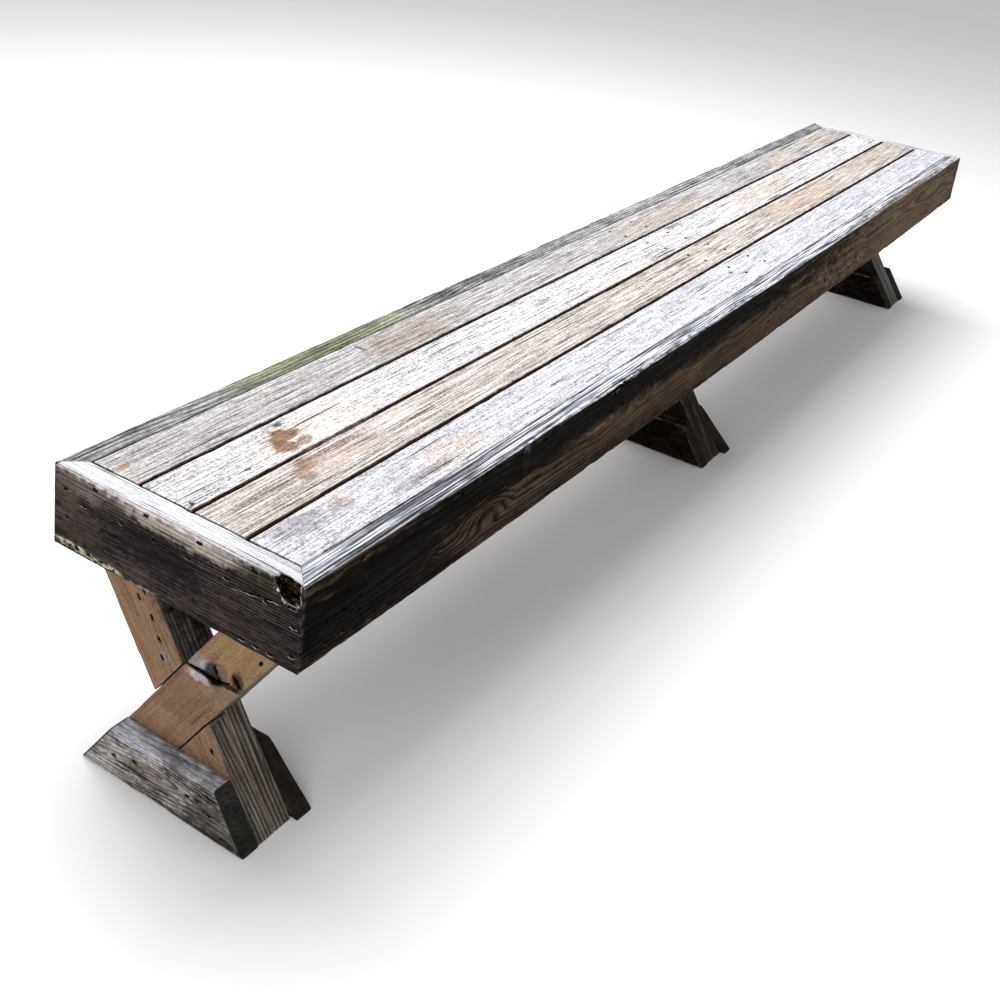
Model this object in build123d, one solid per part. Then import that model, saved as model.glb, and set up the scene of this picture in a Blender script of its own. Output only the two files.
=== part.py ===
from build123d import *
import os
from math import radians, sin, tan

# A weathered timber garden bench: a long slatted seat inside a mitred frame of
# boards, standing on three crossed leg sets. Millimetres, +Z up. The origin is on
# the ground under the middle of the seat. X runs along the bench and -Y is its front.

# ---------------------------------------------------------------- seat sizes
LENGTH = 3300
WIDTH = 480
HEIGHT = 505
BOARD = 38                        # thickness of every board except the slats
FASCIA_DEPTH = 140
SLAT_THICKNESS = 28
SLAT_WIDTHS = (92, 94, 98, 92)    # from the front slat to the back slat
SLAT_GAP = 8
SLAT_CLEARANCE = 2                # all round the slats, inside the frame

# ------------------------------------------------------------- leg set sizes
LEG_WIDTH = 89
LEG_ANGLE = 55                    # between a leg and the ground
CROSSING_HEIGHT = 163             # where the middle lines of two legs cross
PACKER_GAP = 2                    # between a packer and the leg it butts against
FOOT_DEPTH = 89
FOOT_HALF_LENGTH = 170            # at the ground
FLAT_FOOT_HALF_LENGTH = 180       # a foot board with its ends cut flatter than the legs
FLAT_FOOT_ANGLE = 43
LEG_SET_DEPTH = 4 * BOARD
MIDDLE_SET_OFFSET = 88            # the middle set stands this far past the middle

# -------------------------------------------------- bearer and batten sizes
BEARER_DEPTH = 89                 # bearers stand on edge beside the leg tops
CROSS_BATTEN_WIDTH = 89           # cross battens lie flat under the slats
END_BATTEN_DEPTH = 38
END_BATTEN_HALF_LENGTH = 136

# ---------------------------------------------------------------- nail sizes
SHANK_RADIUS = 1.7
HEAD_RADIUS = 3.5
HEAD_THICKNESS = 1.2
HEAD_SET = 2                      # how far a head is sunk below the face
HOLE_CLEARANCE = 0.2
LONG_NAIL = 70
FACE_NAIL = 62
BATTEN_NAIL = 56
CORNER_NAIL = 50

# ---------------------------------------------------------- sizes worked out
INNER_HALF_WIDTH = WIDTH / 2 - BOARD
FASCIA_BOTTOM = HEIGHT - FASCIA_DEPTH
SLAT_BOTTOM = HEIGHT - SLAT_THICKNESS
SLAT_MIDDLE = HEIGHT - SLAT_THICKNESS / 2
BEARER_BOTTOM = SLAT_BOTTOM - BEARER_DEPTH
BATTEN_BOTTOM = SLAT_BOTTOM - BOARD
BATTEN_MIDDLE = SLAT_BOTTOM - BOARD / 2
LEG_LEAN = 1 / tan(radians(LEG_ANGLE))
LEG_HALF_SPREAD = LEG_WIDTH / sin(radians(LEG_ANGLE)) / 2
SET_STARTS = {
    "left": -LENGTH / 2,
    "middle": MIDDLE_SET_OFFSET - LEG_SET_DEPTH / 2,
    "right": LENGTH / 2 - LEG_SET_DEPTH,
}
BEARER_STARTS = {
    "top_bearer_left": SET_STARTS["left"] + 3 * BOARD,
    "top_bearer_middle_1": SET_STARTS["middle"],
    "top_bearer_middle_2": SET_STARTS["middle"] + 3 * BOARD,
    "top_bearer_right": SET_STARTS["right"],
}
CROSS_BATTEN_MIDDLES = {
    "cross_batten_left": (SET_STARTS["left"] + LEG_SET_DEPTH + SET_STARTS["middle"]) / 2,
    "cross_batten_right": (SET_STARTS["middle"] + LEG_SET_DEPTH + SET_STARTS["right"]) / 2,
}


def block(x0, x1, y0, y1, z0, z1):
    """A box between two corners."""
    middle = Pos((x0 + x1) / 2, (y0 + y1) / 2, (z0 + z1) / 2)
    return middle * Box(x1 - x0, y1 - y0, z1 - z0)


def slab(outline, x0):
    """A board one thickness deep along X, with its outline given in Y and Z."""
    face = Plane.YZ.offset(x0) * Polygon(*outline, align=None)
    return extrude(face, amount=BOARD, dir=(1, 0, 0))


# ---------------------------------------------------------------------- seat
def fascia(plan):
    """One board of the seat frame, from its outline seen from above."""
    face = Plane.XY.offset(FASCIA_BOTTOM) * Polygon(*plan, align=None)
    return extrude(face, amount=FASCIA_DEPTH, dir=(0, 0, 1))


def side_fascia(side):
    """A long frame board, mitred at both ends."""
    half = LENGTH / 2
    outer = side * WIDTH / 2
    inner = side * INNER_HALF_WIDTH
    return fascia([(-half, outer), (half, outer), (half - BOARD, inner), (BOARD - half, inner)])


def end_fascia(side):
    """A short frame board, mitred at both ends."""
    half = WIDTH / 2
    outer = side * LENGTH / 2
    inner = outer - side * BOARD
    return fascia([(outer, -half), (outer, half), (inner, half - BOARD), (inner, BOARD - half)])


def slat_rows():
    """The front and back edges of each slat, starting at the front of the seat."""
    rows = []
    front = -INNER_HALF_WIDTH + SLAT_CLEARANCE
    for width in SLAT_WIDTHS:
        rows.append((front, front + width))
        front += width + SLAT_GAP
    return rows


def slat(row):
    end = LENGTH / 2 - BOARD - SLAT_CLEARANCE
    return block(-end, end, row[0], row[1], SLAT_BOTTOM, HEIGHT)


# ------------------------------------------------------ bearers and battens
def top_bearer(x0):
    """A board on edge from side to side, clamping the tops of one leg set."""
    reach = INNER_HALF_WIDTH
    return block(x0, x0 + BOARD, -reach, reach, BEARER_BOTTOM, SLAT_BOTTOM)


def cross_batten(middle):
    """A flat batten that ties the slats together between two leg sets."""
    half = CROSS_BATTEN_WIDTH / 2
    reach = INNER_HALF_WIDTH
    return block(middle - half, middle + half, -reach, reach, BATTEN_BOTTOM, SLAT_BOTTOM)


def end_batten(x0):
    """A short batten behind an end board, between the leg tops, under the slat ends."""
    reach = END_BATTEN_HALF_LENGTH
    return block(x0, x0 + BOARD, -reach, reach, SLAT_BOTTOM - END_BATTEN_DEPTH, SLAT_BOTTOM)


# ----------------------------------------------------------------- leg sets
def leg_outline(side):
    """A leg that rises towards one side and stops inside the frame, under the slats."""
    foot = -CROSSING_HEIGHT * LEG_LEAN
    top = (SLAT_BOTTOM - CROSSING_HEIGHT) * LEG_LEAN - LEG_HALF_SPREAD
    meets_fascia = CROSSING_HEIGHT + (INNER_HALF_WIDTH - LEG_HALF_SPREAD) / LEG_LEAN
    corners = [
        (foot - LEG_HALF_SPREAD, 0),
        (foot + LEG_HALF_SPREAD, 0),
        (INNER_HALF_WIDTH, meets_fascia),
        (INNER_HALF_WIDTH, SLAT_BOTTOM),
        (top, SLAT_BOTTOM),
    ]
    return [(side * y, z) for y, z in corners]


def packers(side, x0):
    """The lower and upper packers that share a layer with the leg rising the other way."""
    doubled_leg = slab(leg_outline(side), x0)
    half_strip = LEG_HALF_SPREAD + PACKER_GAP / sin(radians(LEG_ANGLE))
    strip = []
    for height, edge in ((-HEIGHT, -1), (-HEIGHT, 1), (2 * HEIGHT, 1), (2 * HEIGHT, -1)):
        middle = -side * (height - CROSSING_HEIGHT) * LEG_LEAN
        strip.append((middle + edge * half_strip, height))
    return (doubled_leg - slab(strip, x0)).solids().sort_by(Axis.Z)


def foot_board(half_length, end_angle, x0):
    half_top = half_length - FOOT_DEPTH / tan(radians(end_angle))
    outline = [(-half_length, 0), (half_length, 0), (half_top, FOOT_DEPTH), (-half_top, FOOT_DEPTH)]
    return slab(outline, x0)


def leg_set(name):
    """Four layers of boards: a foot board, two layers of crossed legs, a foot board."""
    x0 = SET_STARTS[name]
    pieces = {
        "foot_board_1": foot_board(FOOT_HALF_LENGTH, LEG_ANGLE, x0),
        "leg_1": slab(leg_outline(-1), x0 + BOARD),
        "leg_2": slab(leg_outline(1), x0 + 2 * BOARD),
    }
    pieces["packer_1_lower"], pieces["packer_1_upper"] = packers(1, x0 + BOARD)
    pieces["packer_2_lower"], pieces["packer_2_upper"] = packers(-1, x0 + 2 * BOARD)
    if name == "right":
        pieces["foot_board_2"] = foot_board(FOOT_HALF_LENGTH, LEG_ANGLE, x0 + 3 * BOARD)
    else:
        pieces["foot_board_2"] = foot_board(FLAT_FOOT_HALF_LENGTH, FLAT_FOOT_ANGLE, x0 + 3 * BOARD)
    return {f"{name}_set_{piece}": solid for piece, solid in pieces.items()}


# -------------------------------------------------------------------- nails
def nail(point, direction, length):
    """A round nail driven in from a point on a face, its head sunk below that face."""
    start = Plane(origin=point, z_dir=direction)
    head = extrude(start.offset(HEAD_SET) * Circle(HEAD_RADIUS), amount=HEAD_THICKNESS)
    shank_start = start.offset(HEAD_SET + HEAD_THICKNESS)
    shank = extrude(shank_start * Circle(SHANK_RADIUS), amount=length - HEAD_THICKNESS)
    return head + shank


def nail_hole(point, direction, length):
    """The hole around a nail: a wide mouth for the head and a bore for the shank."""
    start = Plane(origin=point, z_dir=direction)
    mouth = extrude(start * Circle(HEAD_RADIUS + HOLE_CLEARANCE), amount=HEAD_SET + HEAD_THICKNESS)
    bore_depth = HEAD_SET + length + HOLE_CLEARANCE
    bore = extrude(start * Circle(SHANK_RADIUS + HOLE_CLEARANCE), amount=bore_depth)
    return mouth + bore


def end_board_nails():
    """Nails driven inwards through both end boards."""
    groups = {"slat_end_nails": [], "end_batten_nails": [], "leg_top_nails": [], "corner_nails": []}
    batten_places = (-105, -34, 35, 99)
    leg_top_places = ((139, 375), (165, 375), (190, 375), (177, 454))
    back_corner_places = ((216, 468), (213, 421))
    front_corner_places = ((-227, 436), (-227, 390))
    for side in (-1, 1):
        x = side * LENGTH / 2
        inwards = (-side, 0, 0)
        for front, back in slat_rows():
            place = (x, (front + back) / 2, SLAT_MIDDLE)
            groups["slat_end_nails"].append((place, inwards, LONG_NAIL))
        for y in batten_places:
            groups["end_batten_nails"].append(((x, y, BATTEN_MIDDLE), inwards, LONG_NAIL))
        for y, z in leg_top_places:
            for half in (-1, 1):
                groups["leg_top_nails"].append(((x, half * y, z), inwards, LONG_NAIL))
        for y, z in back_corner_places + front_corner_places:
            groups["corner_nails"].append(((x, y, z), inwards, CORNER_NAIL))
    return groups


def side_board_nails():
    """Nails driven inwards through both side boards."""
    groups = {"slat_edge_nails": [], "leg_side_nails": [], "bearer_end_nails": []}
    edge_nail_count = 13
    edge_nail_inset = 130
    edge_spacing = (LENGTH - 2 * edge_nail_inset) / (edge_nail_count - 1)
    leg_heights = (389, 425)
    bearer_heights = (BEARER_BOTTOM + 18, BEARER_BOTTOM + 42)
    batten_nail_offset = 22
    for side in (-1, 1):
        y = side * WIDTH / 2
        inwards = (0, -side, 0)
        for step in range(edge_nail_count):
            place = (edge_nail_inset - LENGTH / 2 + step * edge_spacing, y, SLAT_MIDDLE)
            groups["slat_edge_nails"].append((place, inwards, LONG_NAIL))
        for start in SET_STARTS.values():
            for layer_middle in (1.5 * BOARD, 2.5 * BOARD):
                for z in leg_heights:
                    place = (start + layer_middle, y, z)
                    groups["leg_side_nails"].append((place, inwards, LONG_NAIL))
        for start in BEARER_STARTS.values():
            for z in bearer_heights:
                place = (start + BOARD / 2, y, z)
                groups["bearer_end_nails"].append((place, inwards, LONG_NAIL))
        for middle in CROSS_BATTEN_MIDDLES.values():
            for offset in (-batten_nail_offset, batten_nail_offset):
                place = (middle + offset, y, BATTEN_MIDDLE)
                groups["bearer_end_nails"].append((place, inwards, LONG_NAIL))
    return groups


def slat_nails():
    """Nails down into the middle bearers, and up through the cross battens."""
    groups = {"slat_face_nails": [], "slat_under_nails": []}
    face_inset = 25
    batten_nail_offset = 22
    for front, back in slat_rows():
        for bearer in ("top_bearer_middle_1", "top_bearer_middle_2"):
            x = BEARER_STARTS[bearer] + BOARD / 2
            for y in (front + face_inset, back - face_inset):
                groups["slat_face_nails"].append(((x, y, HEIGHT), (0, 0, -1), FACE_NAIL))
        for middle in CROSS_BATTEN_MIDDLES.values():
            for offset in (-batten_nail_offset, batten_nail_offset):
                place = (middle + offset, (front + back) / 2, BATTEN_BOTTOM)
                groups["slat_under_nails"].append((place, (0, 0, 1), BATTEN_NAIL))
    return groups


def leg_set_nails():
    """Nails through the foot boards, the packers and the top bearers of each leg set."""
    groups = {"foot_nails": [], "leg_nails": [], "bearer_face_nails": []}
    foot_places = ((100, 41), (55, 52))
    layer_places = ((95, 316), (66, 293), (50, 262), (42, 232), (85, 331), (-66, 117), (-147, 317))
    bearer_places = ((150, 402), (160, 458))
    for name, start in SET_STARTS.items():
        for side, outside in ((1, start), (-1, start + LEG_SET_DEPTH)):
            direction = (side, 0, 0)
            for y, z in foot_places:
                for half in (-1, 1):
                    groups["foot_nails"].append(((outside, half * y, z), direction, LONG_NAIL))
            for y, z in layer_places:
                place = (outside + side * BOARD, side * y, z)
                groups["leg_nails"].append((place, direction, LONG_NAIL))
            if (name, side) in (("left", 1), ("right", -1)):
                continue
            for y, z in bearer_places:
                for half in (-1, 1):
                    place = (outside, half * y, z)
                    groups["bearer_face_nails"].append((place, direction, LONG_NAIL))
    return groups


# ---------------------------------------------------------------- the bench
def all_boards():
    """Every board of the bench by name, before its nail holes are made."""
    boards = {
        "side_fascia_front": side_fascia(-1),
        "side_fascia_back": side_fascia(1),
        "end_fascia_left": end_fascia(-1),
        "end_fascia_right": end_fascia(1),
        "end_batten_left": end_batten(-LENGTH / 2 + BOARD),
        "end_batten_right": end_batten(LENGTH / 2 - 2 * BOARD),
    }
    for number, row in enumerate(slat_rows(), start=1):
        boards[f"seat_slat_{number}"] = slat(row)
    for name, start in BEARER_STARTS.items():
        boards[name] = top_bearer(start)
    for name, middle in CROSS_BATTEN_MIDDLES.items():
        boards[name] = cross_batten(middle)
    for name in SET_STARTS:
        boards.update(leg_set(name))
    return boards


def all_nails():
    return end_board_nails() | side_board_nails() | slat_nails() | leg_set_nails()


def boxes_meet(one, other):
    """Whether the boxes around two shapes touch."""
    a = one.bounding_box()
    b = other.bounding_box()
    return (
        a.min.X <= b.max.X and b.min.X <= a.max.X
        and a.min.Y <= b.max.Y and b.min.Y <= a.max.Y
        and a.min.Z <= b.max.Z and b.min.Z <= a.max.Z
    )


os.makedirs("parts", exist_ok=True)
nails = all_nails()
holes = [nail_hole(*driven) for group in nails.values() for driven in group]
for name, board in all_boards().items():
    board_holes = [hole for hole in holes if boxes_meet(board, hole)]
    drilled = board - board_holes
    export_step(drilled.solids()[0], f"parts/{name}.step")
    print(f"{name}: {len(drilled.solids())} solid, {drilled.volume / 1000:.0f} cm3")
for name, group in nails.items():
    driven_nails = [nail(*driven).solids()[0] for driven in group]
    export_step(Compound(children=driven_nails), f"parts/{name}.step")
    print(f"{name}: {len(driven_nails)} nails")
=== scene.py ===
from math import cos, radians, sin

import bmesh
import bpy
import numpy as np
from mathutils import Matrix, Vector


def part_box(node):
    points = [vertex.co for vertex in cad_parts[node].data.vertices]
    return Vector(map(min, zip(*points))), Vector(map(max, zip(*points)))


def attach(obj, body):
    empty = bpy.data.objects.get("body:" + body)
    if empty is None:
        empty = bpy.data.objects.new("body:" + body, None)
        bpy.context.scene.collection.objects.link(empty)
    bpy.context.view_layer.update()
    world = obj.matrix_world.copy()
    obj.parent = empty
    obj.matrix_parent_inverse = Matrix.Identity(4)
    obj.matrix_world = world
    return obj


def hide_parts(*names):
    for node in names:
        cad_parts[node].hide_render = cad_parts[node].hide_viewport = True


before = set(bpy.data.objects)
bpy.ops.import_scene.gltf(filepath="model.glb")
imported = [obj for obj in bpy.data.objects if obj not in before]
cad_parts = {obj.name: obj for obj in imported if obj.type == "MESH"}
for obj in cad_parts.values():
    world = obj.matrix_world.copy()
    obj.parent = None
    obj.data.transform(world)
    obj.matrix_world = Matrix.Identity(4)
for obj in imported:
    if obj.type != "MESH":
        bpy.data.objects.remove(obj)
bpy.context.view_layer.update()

# A weathered timber bench. Every board is rebuilt as a detailed mesh around the
# place of its CAD node, in metres: X along the bench, the front at -Y, +Z up.

# ---- known sizes
BOARD = 0.038
LEG_WIDTH = 0.089
LEG_ANGLE = radians(55)
CROSSING_HEIGHT = 0.163
FLAT_FOOT_ANGLE = radians(43)
PACKER_GAP = 0.002
RIM_DEPTH = 0.14
FRONT_SLAT_WIDTH = 0.094
SEAM_CLOSING = 0.0016
LOW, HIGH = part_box("side_fascia_front")
HALF_LENGTH = HIGH.x
HALF_WIDTH = -LOW.y
SEAT_TOP = HIGH.z
INNER_HALF_WIDTH = HALF_WIDTH - BOARD
SLAT_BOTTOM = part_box("seat_slat_1")[0].z
MITRE = HALF_LENGTH - HALF_WIDTH
NEAR = -HALF_LENGTH
FRONT = -HALF_WIDTH
NEAR_LEG_FACE = NEAR + BOARD
FRONT_BOW = 0.009

# The worn surface: its long waves and short ripples, and the depth past which a
# point lies inside a cut and not just in one of those waves.
WAVE_HEIGHT = 0.0005
RIPPLE_HEIGHT = 0.0003
INSIDE_FROM = 0.0009

# Nail heads sit this deep, below torn mouths that are longer along the grain.
NAIL_SET = 0.002
JUST_INSIDE = 0.001
MOUTH_HALF_LENGTH = 0.0078
MOUTH_HALF_WIDTH = 0.004
MOUTH_DEPTH = 0.0055
MOUTH_POINTS = 12

# Each board's grain starts this much further along the same endless wood.
SEED_STEP = 3.7
FRONT_SEED = 10

X, Y, Z = np.eye(3)


# ---- noise for the meshes
def lattice_value(cell, seed):
    """A repeatable value from 0 to 1 for each cell of an endless lattice."""
    n = cell[..., 0] * 374761393 + cell[..., 1] * 668265263 + cell[..., 2] * 1440662683
    n = n + seed * 974634777
    n = (n ^ (n >> 13)) * 1274126177
    n = n ^ (n >> 16)
    return (n & 0xFFFFFF) / 0xFFFFFF


def lumps(points, per_metre, seed):
    """Smooth noise from -1 to 1, with so many lumps per metre along each axis."""
    p = points * np.array(per_metre)
    cell = np.floor(p).astype(np.int64)
    f = p - cell
    f = f * f * (3 - 2 * f)
    total = np.zeros(points.shape[:-1])
    for corner in np.ndindex(2, 2, 2):
        weight = np.prod(np.where(corner, f, 1 - f), axis=-1)
        total += weight * lattice_value(cell + np.array(corner), seed)
    return total * 2 - 1


def add_object(name, data):
    """A new object in the scene."""
    thing = bpy.data.objects.new(name, data)
    bpy.context.scene.collection.objects.link(thing)
    return thing


# ---- the boards
class Board:
    """A straight board: a rounded section swept along the grain between end cuts."""

    seed = 0
    wear = 0.0015
    arris = 0.0022
    end_round = 0.0015
    step = 0.007
    shape = None
    material = None
    openings = None
    straighten = None

    def __init__(self, name, centre, along, across, width, depth, cuts, **look):
        self.name = name
        self.centre = np.array(centre, float)
        self.along = np.array(along, float)
        self.across = np.array(across, float)
        self.outward = np.cross(self.along, self.across)
        self.half_width = width / 2
        self.half_depth = depth / 2
        self.cuts = [(np.array(n, float) / np.linalg.norm(n), k / np.linalg.norm(n)) for n, k in cuts]
        vars(self).update(look)

    def local(self, points):
        """Points as (along, across, outward) from the board's centre."""
        offset = points - self.centre
        return np.stack([offset @ self.along, offset @ self.across, offset @ self.outward], -1)

    def contains(self, point):
        """Whether a point lies in the board."""
        _, b, c = self.local(point)
        inside = abs(b) <= self.half_width and abs(c) <= self.half_depth
        return inside and all(n @ point <= k for n, k in self.cuts)

    def section(self):
        """The section's points, their outward directions and their nearness to an arris."""
        r = self.arris

        def flat(half):
            near = [0.0, 0.0015, 0.0035, 0.007]
            inner = half - r - near[-1]
            count = max(1, int(round(2 * inner / self.step)))
            middle = list(np.linspace(-inner, inner, count + 1))[1:-1]
            ends = [half - r - d for d in near]
            return sorted([-e for e in ends] + middle + ends)

        points = []
        b_flat = flat(self.half_width)
        c_flat = flat(self.half_depth)
        turns = (radians(30), radians(60))
        sides = (
            ([(self.half_width, c) for c in c_flat], 0),
            ([(b, self.half_depth) for b in reversed(b_flat)], 90),
            ([(-self.half_width, c) for c in reversed(c_flat)], 180),
            ([(b, -self.half_depth) for b in b_flat], 270),
        )
        for side, degrees in sides:
            angle = radians(degrees)
            for b, c in side:
                points.append((b, c, cos(angle), sin(angle)))
            b_last, c_last = side[-1]
            b_centre = b_last - r * cos(angle)
            c_centre = c_last - r * sin(angle)
            for turn in turns:
                direction = (cos(angle + turn), sin(angle + turn))
                points.append((b_centre + r * direction[0], c_centre + r * direction[1], *direction))
        points = np.array(points)
        from_arris = np.hypot(self.half_width - abs(points[:, 0]), self.half_depth - abs(points[:, 1]))
        return points, np.clip(1 - (from_arris - 0.4 * r) / 0.009, 0, 1)

    def rows(self):
        """Each row's distance from the near end, share of the length between, and inset."""
        r = self.end_round
        start = [(0.0, None, r), (0.15 * r, None, 0.5 * r), (0.5 * r, None, 0.15 * r)]
        length = self.longest()
        count = max(2, int(round(length / self.step)))
        middle = [(None, share, 0.0) for share in np.linspace(0, 1, count + 1)]
        end = [(-d, None, inset) for d, _, inset in reversed(start)]
        return start + middle + end

    def reach(self, b, c):
        """How far along the grain the board runs, both ways, at points of its section."""
        base = self.centre + np.outer(b, self.across) + np.outer(c, self.outward)
        low = np.full(len(b), -10.0)
        high = np.full(len(b), 10.0)
        for normal, limit in self.cuts:
            slope = normal @ self.along
            if abs(slope) < 1e-6:
                continue
            at = (limit - base @ normal) / slope
            if slope > 0:
                high = np.minimum(high, at)
            else:
                low = np.maximum(low, at)
        return low, high

    def longest(self):
        """The board's length along its longest edge."""
        corners_b = np.array([-1, -1, 1, 1]) * self.half_width
        corners_c = np.array([-1, 1, -1, 1]) * self.half_depth
        low, high = self.reach(corners_b, corners_c)
        return float((high - low).max())

    def build(self):
        """The board's mesh object, worn and uneven."""
        section, near_arris = self.section()
        b, c, b_out, c_out = section.T
        points = []
        for offset, share, inset in self.rows():
            b_row = b - b_out * inset
            c_row = c - c_out * inset
            low, high = self.reach(b_row, c_row)
            if share is not None:
                a = low + self.end_round + (high - low - 2 * self.end_round) * share
            elif offset > 0 or (offset == 0.0 and not points):
                a = low + offset
            else:
                a = high + offset
            row = self.centre + np.outer(a, self.along) + np.outer(b_row, self.across)
            points.append(row + np.outer(c_row, self.outward))
        points = np.array(points)
        out = np.outer(b_out, self.across) + np.outer(c_out, self.outward)
        grain = self.local(points) + np.array((self.seed * SEED_STEP, 0, 0))
        lift = WAVE_HEIGHT * lumps(grain, (2.5, 38, 38), self.seed)
        lift = lift + RIPPLE_HEIGHT * lumps(grain, (14, 120, 120), self.seed + 1)
        inwards = np.outer(np.sign(b), self.across) + np.outer(np.sign(c), self.outward)
        chips = np.clip(lumps(grain, (28, 45, 45), self.seed + 2) - 0.15, 0, 1)
        small_chips = np.clip(lumps(grain, (95, 130, 130), self.seed + 3), 0, 1)
        loss = self.wear * near_arris * (0.12 + 0.9 * chips + 0.35 * small_chips)
        points = points + out * lift[..., None] - inwards * loss[..., None] * 0.7
        if self.shape:
            points = self.shape(points)
        rows, columns = points.shape[:2]
        faces = []
        for this_row in range(0, (rows - 1) * columns, columns):
            next_row = this_row + columns
            for j in range(columns):
                k = (j + 1) % columns
                faces.append((this_row + j, this_row + k, next_row + k, next_row + j))
        faces.append(tuple(range(columns - 1, -1, -1)))
        faces.append(tuple((rows - 1) * columns + j for j in range(columns)))
        mesh = bpy.data.meshes.new(self.name + "_weathered")
        mesh.from_pydata(points.reshape(-1, 3).tolist(), [], faces)
        mesh.validate()
        return add_object(self.name + "_weathered", mesh)

    def add_wood_coordinates(self, piece):
        """Stores where each point lies in the wood, and how far inside each face it is."""
        mesh = piece.data
        points = np.empty(len(mesh.vertices) * 3)
        mesh.vertices.foreach_get("co", points)
        points = points.reshape(-1, 3)
        grain = self.local(points) + np.array((self.seed * SEED_STEP, 0, 0))
        straight = self.straighten(points) if self.straighten else points
        _, across, outward = self.local(straight).T
        to_cut = np.min([limit - straight @ normal for normal, limit in self.cuts], axis=0)
        inset = np.stack([to_cut, self.half_width - abs(across), self.half_depth - abs(outward)], -1)
        for label, values in (("grain", grain), ("inset", inset)):
            layer = mesh.attributes.new(label, "FLOAT_VECTOR", "POINT")
            layer.data.foreach_set("vector", values.astype(np.float32).ravel())


# ---- the nails
def nail_list():
    """Where each CAD nail enters its board, and the direction that it is driven in."""
    nails = []
    for name in sorted(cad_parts):
        if not name.endswith("_nails"):
            continue
        shape = bmesh.new()
        shape.from_mesh(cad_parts[name].data)
        bmesh.ops.remove_doubles(shape, verts=shape.verts, dist=1e-5)
        left = set(shape.verts)
        while left:
            todo = [left.pop()]
            island = []
            while todo:
                vertex = todo.pop()
                island.append(vertex.co.copy())
                for edge in vertex.link_edges:
                    other = edge.other_vert(vertex)
                    if other in left:
                        left.remove(other)
                        todo.append(other)
            nails.append(read_nail(np.array(island)))
        shape.free()
    return nails


def read_nail(points):
    """The same for one nail, from the points of its mesh."""
    low = points.min(0)
    high = points.max(0)
    axis = int(np.argmax(high - low))
    middle = (low + high) / 2
    from_axis = np.linalg.norm(np.delete(points - middle, axis, 1), axis=1)
    at_low = points[:, axis] < low[axis] + 0.0005
    at_high = points[:, axis] > high[axis] - 0.0005
    head_is_low = from_axis[at_low].max() > from_axis[at_high].max()
    direction = np.zeros(3)
    direction[axis] = 1 if head_is_low else -1
    entry = middle.copy()
    entry[axis] = low[axis] - NAIL_SET if head_is_low else high[axis] + NAIL_SET
    return entry, direction


def bridge(shape, rings):
    """Joins each ring of a shape's vertices to the next one."""
    count = len(rings[0])
    for ring, following in zip(rings, rings[1:]):
        for i in range(count):
            k = (i + 1) % count
            shape.faces.new((ring[i], ring[k], following[k], following[i]))


def nail_mouths(board, mouths):
    """The shape of the torn, slightly long holes over a board's nail heads."""
    shape = bmesh.new()
    for number, (entry, direction) in enumerate(mouths):
        long_way = board.along - direction * (board.along @ direction)
        long_way = long_way / np.linalg.norm(long_way)
        short_way = np.cross(direction, long_way)
        rings = []
        for depth, size in ((-0.012, 1.0), (MOUTH_DEPTH, 0.75)):
            ring = []
            for step in range(MOUTH_POINTS):
                angle = radians(360 / MOUTH_POINTS * step)
                ragged = 1 + 0.22 * sin(number * 2.1 + step * 2.7) + 0.14 * sin(number + step * 4.3)
                ragged = size * ragged
                offset = long_way * MOUTH_HALF_LENGTH * cos(angle) * ragged
                offset = offset + short_way * MOUTH_HALF_WIDTH * sin(angle) * ragged
                ring.append(shape.verts.new(Vector(entry + direction * depth + offset)))
            rings.append(ring)
        bridge(shape, rings)
        shape.faces.new(rings[0][::-1])
        shape.faces.new(rings[1])
    return shape


def split_in_wood(route, inward, depth, seed):
    """The shape of a ragged split that narrows inwards.

    The route lists (point on the face, half of the split's height there).
    """
    inward = np.array(inward, float)
    places = np.array([place for place, _ in route], float)
    halves = np.array([half for _, half in route])
    run = np.append(0, np.cumsum(np.linalg.norm(np.diff(places, axis=0), axis=1)))
    at = np.linspace(0, run[-1], max(6, int(run[-1] / 0.0022)))
    centre = np.stack([np.interp(at, run, places[:, i]) for i in range(3)], -1)
    half = np.interp(at, run, halves)
    half = half * (1 + 0.45 * lumps(centre, (260, 260, 260), seed))
    forward = np.gradient(centre, axis=0)
    forward = forward / np.linalg.norm(forward, axis=1, keepdims=True)
    spread = np.cross(forward, inward)
    centre = centre + spread * (0.0012 * lumps(centre, (170, 170, 170), seed + 1))[:, None]
    shape = bmesh.new()
    rows = []
    for middle, side, reach in zip(centre, spread, half):
        rim = middle - inward * 0.003
        corners = (rim + side * reach, rim - side * reach, middle + inward * depth)
        rows.append([shape.verts.new(Vector(corner)) for corner in corners])
    bridge(shape, rows)
    shape.faces.new(rows[0])
    shape.faces.new(rows[-1][::-1])
    return shape


def raise_splinter(piece, board):
    """A curled splinter that has lifted at the near front corner of a slat."""
    corner = Vector((-board.cuts[1][1], board.centre[1] - board.half_width, SEAT_TOP))
    spine = (
        ((0.022, 0.012, -0.0012), 0.0032),
        ((0.013, 0.009, 0.0012), 0.0032),
        ((0.005, 0.006, 0.0068), 0.0028),
        ((0.000, 0.003, 0.0118), 0.0022),
        ((-0.001, 0.000, 0.015), 0.0015),
        ((0.003, -0.002, 0.0156), 0.0007),
    )
    shape = bmesh.new()
    shape.from_mesh(piece.data)
    rings = []
    for place, half_width in spine:
        ring = []
        for step in range(8):
            angle = radians(-45 * step)
            offset = Vector((0.3 * sin(angle), cos(angle), 0.5 * sin(angle))) * half_width
            ring.append(shape.verts.new(corner + Vector(place) + offset))
        rings.append(ring)
    bridge(shape, rings)
    shape.faces.new(rings[0][::-1])
    shape.faces.new(rings[-1])
    shape.to_mesh(piece.data)
    shape.free()


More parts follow.
